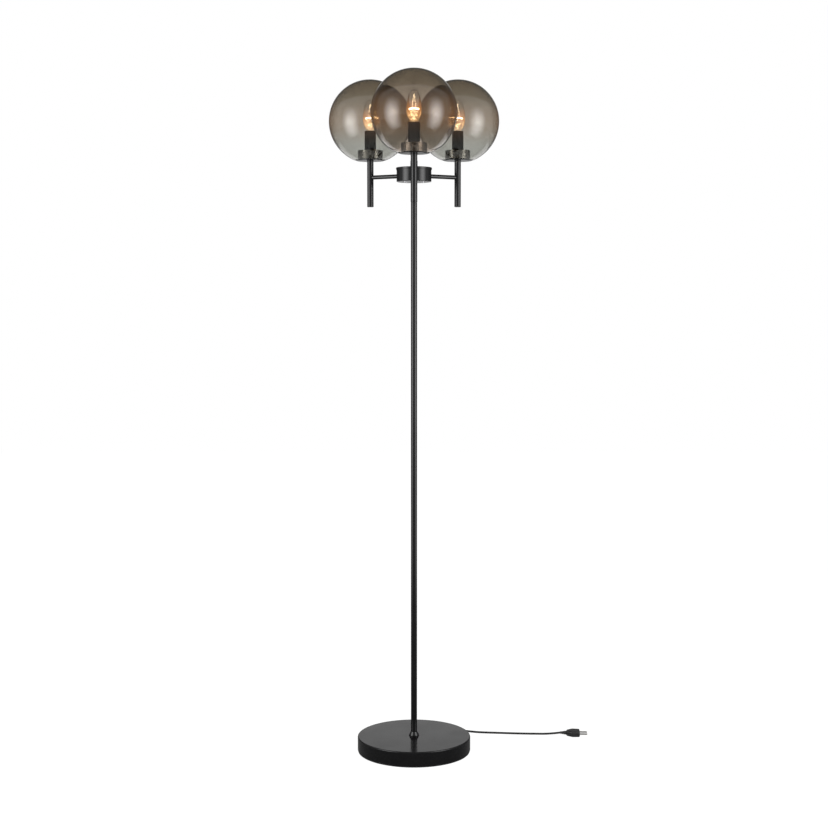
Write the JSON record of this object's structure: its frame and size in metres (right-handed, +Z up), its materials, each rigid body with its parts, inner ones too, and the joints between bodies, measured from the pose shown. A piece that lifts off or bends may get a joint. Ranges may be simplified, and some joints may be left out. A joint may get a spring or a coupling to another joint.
{
  "type": "globe floor lamp",
  "caption": "Floor lamp with a round weighted foot, slim pole and drum hub, and arms that carry smoked glass globes over candle bulbs, on a mains cord with a foot switch.",
  "frame": {"origin": "middle of the flat underside of the foot, on the floor and on the pole's axis", "axes": "+Z up along the pole; -Y towards the front arm, +X to the right seen from the front"},
  "size_m": [0.6463, 0.4357, 1.6331],
  "materials": {
    "black_metal": "satin black powder coat",
    "dark_nickel": "polished dark nickel",
    "smoked_glass": "clear smoked glass",
    "clear_glass": "clear glass",
    "black_plastic": "black moulded thermoplastic",
    "black_rubber": "black soft vinyl",
    "zinc_steel": "zinc-plated steel",
    "cast_iron": "rough cast iron",
    "brass": "plain brass",
    "nickel": "bright nickel plate",
    "filament": "glowing wire on a glass mount",
    "white_plastic": "white nylon",
    "tie_fabric": "woven hook-and-loop strap"
  },
  "bodies": {
    "stand": {"base_cover": "black_metal", "pole_collar": "black_metal", "pole_lower": "black_metal", "pole_middle": "black_metal", "pole_upper": "black_metal", "hub_body": "black_metal", "hub_lid": "black_metal", "hub_finial": "black_metal", "stem_caps": "black_metal", "arm_tube_front": "black_metal", "arm_tube_right": "black_metal", "arm_tube_left": "black_metal", "stem_front": "black_metal", "stem_right": "black_metal", "stem_left": "black_metal", "support_disc_front": "black_metal", "support_disc_right": "black_metal", "support_disc_left": "black_metal", "gallery_cup_front": "dark_nickel", "gallery_cup_right": "dark_nickel", "gallery_cup_left": "dark_nickel", "bulb_glass_front": "clear_glass", "bulb_glass_right": "clear_glass", "bulb_glass_left": "clear_glass", "lampholder_front": "black_plastic", "lampholder_right": "black_plastic", "lampholder_left": "black_plastic", "switch_housing": "black_plastic", "switch_cover": "black_plastic", "plug_body": "black_plastic", "cord_grommet": "black_rubber", "cord_lead": "black_rubber", "cord_feed": "black_rubber", "cord_coil": "black_rubber", "cord_run": "black_rubber", "base_pad": "black_rubber", "base_plate": "zinc_steel", "base_locknuts": "zinc_steel", "base_rod": "zinc_steel", "pole_couplers": "zinc_steel", "hub_bridge": "zinc_steel", "hub_screws": "zinc_steel", "hub_nipple": "zinc_steel", "hub_locknuts": "zinc_steel", "arm_locknuts": "zinc_steel", "stem_bushes": "zinc_steel", "gallery_locknuts": "zinc_steel", "holder_nipples": "zinc_steel", "base_weight": "cast_iron", "lamp_contacts": "brass", "bulb_caps": "nickel", "plug_pins": "nickel", "bulb_filaments": "filament", "terminal_block": "white_plastic", "switch_block": "white_plastic", "cord_tie": "tie_fabric"},
    "globe_front": {"globe_front": "smoked_glass"},
    "globe_right": {"globe_right": "smoked_glass"},
    "globe_left": {"globe_left": "smoked_glass"},
    "foot_button": {"switch_button": "black_plastic"}
  },
  "joints": [
    {"name": "globe_front_lift", "type": "slide", "parent": "stand", "child": "globe_front", "axis": [0, 0, 1], "range_m": [0, 0.16]},
    {"name": "globe_right_lift", "type": "slide", "parent": "stand", "child": "globe_right", "axis": [0, 0, 1], "range_m": [0, 0.16]},
    {"name": "globe_left_lift", "type": "slide", "parent": "stand", "child": "globe_left", "axis": [0, 0, 1], "range_m": [0, 0.16]},
    {"name": "foot_switch_press", "type": "slide", "parent": "stand", "child": "foot_button", "axis": [0, 0, -1], "range_m": [0, 0.0035], "stiffness_N_per_m": 600, "springref_m": -0.004}
  ]
}
